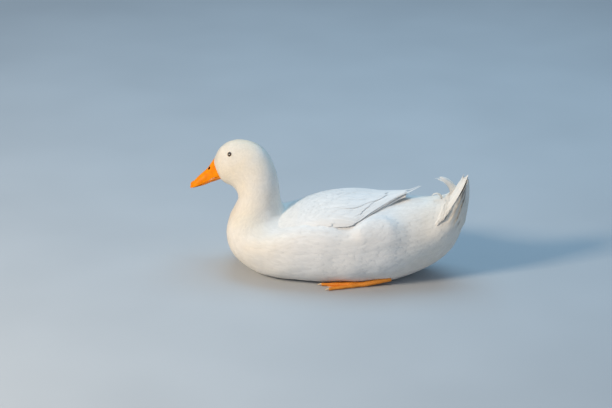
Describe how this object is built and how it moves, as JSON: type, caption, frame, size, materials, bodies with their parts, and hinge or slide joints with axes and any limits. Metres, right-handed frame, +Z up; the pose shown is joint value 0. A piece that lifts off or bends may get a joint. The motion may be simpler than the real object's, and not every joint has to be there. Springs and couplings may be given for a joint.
{
  "type": "pekin duck",
  "caption": "Life-size still model of a white pekin drake resting on its belly, with its head up, wings folded, tail cocked and feet tucked beside the belly.",
  "frame": {"origin": "middle of the belly's flat, on the floor, between the wings and close to the middle of the duck's length", "axes": "-Y towards the bill, +X to the duck's left side, +Z up"},
  "size_m": [0.2106, 0.4936, 0.2209],
  "materials": {
    "plumage": "soft white feathers, matt with a silky sheen, faintly cream on head, neck and breast",
    "bill": "satin orange-yellow horn",
    "eye": "wet dark brown",
    "foot": "matt orange scaled skin"
  },
  "bodies": {
    "root": {"head": "plumage", "neck": "plumage", "torso": "plumage", "tail": "plumage", "wing_left": "plumage", "wing_right": "plumage", "bill_upper": "bill", "bill_lower": "bill", "eye_left": "eye", "eye_right": "eye", "leg_left": "foot", "leg_right": "foot"}
  },
  "joints": []
}
